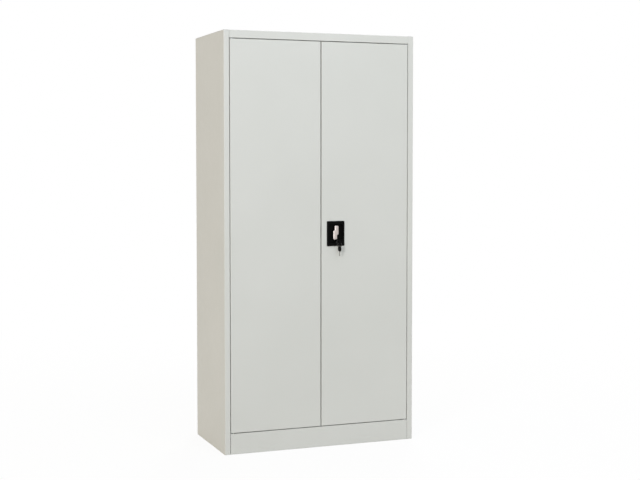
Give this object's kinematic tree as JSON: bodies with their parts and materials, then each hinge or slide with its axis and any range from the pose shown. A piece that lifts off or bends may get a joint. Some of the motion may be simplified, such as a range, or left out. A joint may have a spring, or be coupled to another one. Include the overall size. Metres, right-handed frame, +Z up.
{
  "type": "metal storage cabinet",
  "caption": "Tall free-standing sheet-steel storage cabinet with two inset swing doors, adjustable shelves, and a turn handle that drives a three-way rod lock.",
  "frame": {"origin": "centre of the footprint box, the keys in the lock included, on the floor", "axes": "+Z up along the height, +Y from the doors to the back, +X to the right seen from the front"},
  "size_m": [0.9, 0.4836, 1.85],
  "materials": {
    "paint": "light grey powder coat, fine texture, semi-matt",
    "zinc": "bright zinc-plated steel",
    "nickel": "nickel-plated brass, a little worn",
    "black_nickel": "black nickel plate",
    "chrome": "polished chrome plate",
    "black_plastic": "black moulded plastic, satin",
    "nylon": "natural white nylon",
    "rubber": "dark grey rubber"
  },
  "bodies": {
    "carcass": {"side_panel_left": "paint", "side_panel_right": "paint", "top_panel": "paint", "plinth": "paint", "floor_panel": "paint", "back_panel_left": "paint", "back_panel_right": "paint", "shelf_upright_left_front": "paint", "shelf_upright_right_front": "paint", "shelf_upright_left_rear": "paint", "shelf_upright_right_rear": "paint", "shelf_clip_1_left_front": "zinc", "shelf_clip_1_right_front": "zinc", "shelf_clip_1_left_rear": "zinc", "shelf_clip_1_right_rear": "zinc", "shelf_clip_2_left_front": "zinc", "shelf_clip_2_right_front": "zinc", "shelf_clip_2_left_rear": "zinc", "shelf_clip_2_right_rear": "zinc", "shelf_clip_3_left_front": "zinc", "shelf_clip_3_right_front": "zinc", "shelf_clip_3_left_rear": "zinc", "shelf_clip_3_right_rear": "zinc", "shelf_clip_4_left_front": "zinc", "shelf_clip_4_right_front": "zinc", "shelf_clip_4_left_rear": "zinc", "shelf_clip_4_right_rear": "zinc", "shelf_1": "paint", "shelf_2": "paint", "shelf_3": "paint", "shelf_4": "paint", "pivot_bush_left": "nylon", "pivot_bush_right": "nylon", "door_buffer_left": "rubber", "door_buffer_right": "rubber"},
    "left_door": {"door_left_panel": "paint", "door_left_stiffener": "paint", "pivot_pin_left_top": "zinc", "pivot_pin_left_bottom": "zinc", "strike_plate": "zinc"},
    "right_door": {"door_right_panel": "paint", "door_right_stiffener": "paint", "pivot_pin_right_top": "zinc", "pivot_pin_right_bottom": "zinc", "lock_housing": "black_plastic", "lock_case": "zinc", "cylinder_body": "black_nickel", "rod_guide_upper": "nylon", "rod_guide_lower": "nylon"},
    "turn_handle": {"lever_handle": "chrome", "lock_pinion": "zinc"},
    "top_rod": {"upper_rod": "zinc"},
    "bottom_rod": {"lower_rod": "zinc"},
    "side_bolt": {"centre_bolt": "zinc"},
    "plug": {"cylinder_plug": "black_nickel"},
    "main_key": {"key_blade": "nickel", "key_head": "black_plastic"},
    "ring": {"key_ring": "black_nickel"},
    "second_key": {"spare_key_blade": "nickel", "spare_key_head": "black_plastic"}
  },
  "joints": [
    {"name": "door_left_swing", "type": "hinge", "parent": "carcass", "child": "left_door", "pos_m": [-0.412, -0.20175, 0.0945], "axis": [0, 0, -1], "range_deg": [0, 110]},
    {"name": "door_right_swing", "type": "hinge", "parent": "carcass", "child": "right_door", "pos_m": [0.412, -0.20175, 0.0945], "axis": [0, 0, 1], "range_deg": [0, 110]},
    {"name": "upper_rod_slide", "type": "slide", "parent": "right_door", "child": "top_rod", "axis": [0, 0, 1], "range_m": [0, 0.0196]},
    {"name": "lever_turn", "type": "hinge", "parent": "right_door", "child": "turn_handle", "pos_m": [0.069, -0.20825, 0.964], "axis": [0, -1, 0], "range_deg": [0, 90]},
    {"name": "lower_rod_slide", "type": "slide", "parent": "right_door", "child": "bottom_rod", "axis": [0, 0, -1], "range_m": [0, 0.0197]},
    {"name": "centre_bolt_slide", "type": "slide", "parent": "right_door", "child": "side_bolt", "axis": [-1, 0, 0], "range_m": [0, 0.0197]},
    {"name": "key_turn", "type": "hinge", "parent": "right_door", "child": "plug", "pos_m": [0.08, -0.20825, 0.92], "axis": [0, -1, 0], "range_deg": [0, 90]},
    {"name": "key_withdraw", "type": "slide", "parent": "plug", "child": "main_key", "axis": [0, -1, 0], "range_m": [0, 0.03]},
    {"name": "ring_swing", "type": "hinge", "parent": "main_key", "child": "ring", "pos_m": [0.08, -0.23075, 0.92], "axis": [-1, 0, 0], "range_deg": [-5, 70]},
    {"name": "spare_key_swing", "type": "hinge", "parent": "ring", "child": "second_key", "pos_m": [0.08, -0.23075, 0.89807], "axis": [-1, 0, 0], "range_deg": [-5, 40]}
  ],
  "couplings": [
    {"joint": "lever_turn", "follows": "upper_rod_slide", "rad_per_m": 80},
    {"joint": "lower_rod_slide", "follows": "upper_rod_slide", "ratio": 1},
    {"joint": "centre_bolt_slide", "follows": "upper_rod_slide", "ratio": 1}
  ]
}
